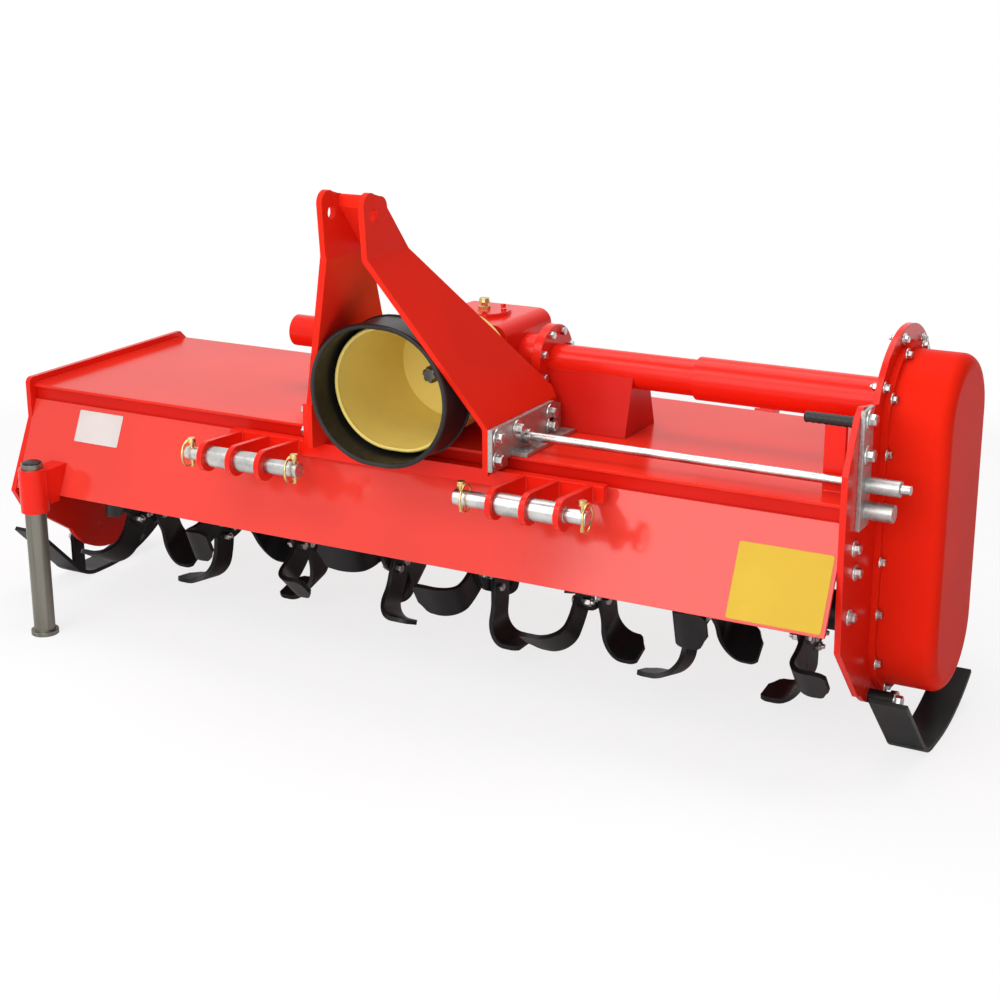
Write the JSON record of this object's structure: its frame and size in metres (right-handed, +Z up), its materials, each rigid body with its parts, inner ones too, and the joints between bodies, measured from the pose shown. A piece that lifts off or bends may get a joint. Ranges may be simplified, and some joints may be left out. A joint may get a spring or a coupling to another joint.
{
  "type": "tractor rotary tiller",
  "caption": "Side-shifting rotary tiller for a tractor: sheet-steel hood with a tined rotor, chain case, gearbox, three-point mast, skids, stand and hinged rear board.",
  "frame": {"origin": "centre of the machine's box on the ground it is parked on", "axes": "+X to the chain-case end, +Y to the rear, away from the tractor, +Z up"},
  "size_m": [2.185, 0.9838, 1.076],
  "materials": {
    "red_paint": "gloss",
    "dark_red_paint": "gloss",
    "black_paint": "satin",
    "zinc": "galvanised",
    "bright_steel": "bright",
    "oiled_steel": "oiled",
    "black_plastic": "satin",
    "yellow_plastic": "satin"
  },
  "bodies": {
    "hood": {"deck_plate": "red_paint", "front_panel": "red_paint", "front_beam": "dark_red_paint", "rear_skirt": "red_paint", "end_plate_left": "red_paint", "end_plate_right": "red_paint", "chain_case": "red_paint", "drive_tube_outer": "red_paint", "rod_guide": "zinc", "lever_post": "red_paint", "lever_grip": "black_plastic", "stand_socket": "red_paint", "bearing_left": "red_paint", "skid_left": "black_paint", "skid_right": "black_paint"},
    "hitch_carriage": {"hitch_crossbar": "red_paint", "hitch_bracket_left": "red_paint", "hitch_bracket_right": "red_paint", "hitch_pin_left": "bright_steel", "hitch_pin_right": "bright_steel", "mast_left": "red_paint", "mast_right": "red_paint", "mast_tie": "red_paint", "clamp_left": "zinc", "clamp_right": "zinc", "gearbox": "red_paint", "saddle": "dark_red_paint", "pto_shield": "black_plastic", "pto_cup": "yellow_plastic", "drive_tube_inner": "red_paint", "guard_tube": "red_paint", "shift_rod": "bright_steel"},
    "rotor": {"rotor_shaft": "black_paint", "tine_flange_1": "black_paint", "tine_flange_2": "black_paint", "tine_flange_3": "black_paint", "tine_flange_4": "black_paint", "tine_flange_5": "black_paint", "tine_flange_6": "black_paint", "tine_flange_7": "black_paint", "tine_flange_8": "black_paint"},
    "pto_stub": {"pto_stub": "oiled_steel"},
    "stand_leg": {"stand_leg": "zinc"},
    "rear_board": {"rear_board": "red_paint"}
  },
  "joints": [
    {"name": "rotor_spin", "type": "hinge", "parent": "hood", "child": "rotor", "pos_m": [0.056, -0.01394, 0.25], "axis": [1, 0, 0], "continuous": true},
    {"name": "carriage_shift", "type": "slide", "parent": "hood", "child": "hitch_carriage", "axis": [1, 0, 0], "range_m": [-0.08, 0.12]},
    {"name": "pto_spin", "type": "hinge", "parent": "hitch_carriage", "child": "pto_stub", "pos_m": [0.056, -0.13293, 0.666], "axis": [0, 1, 0], "continuous": true},
    {"name": "stand_slide", "type": "slide", "parent": "hood", "child": "stand_leg", "axis": [0, 0, 1], "range_m": [0, 0.24]},
    {"name": "rear_board_hinge", "type": "hinge", "parent": "hood", "child": "rear_board", "pos_m": [0.056, 0.38406, 0.428], "axis": [1, 0, 0], "range_deg": [0, 38]}
  ],
  "couplings": [
    {"joint": "pto_spin", "follows": "rotor_spin", "ratio": -2.5}
  ]
}
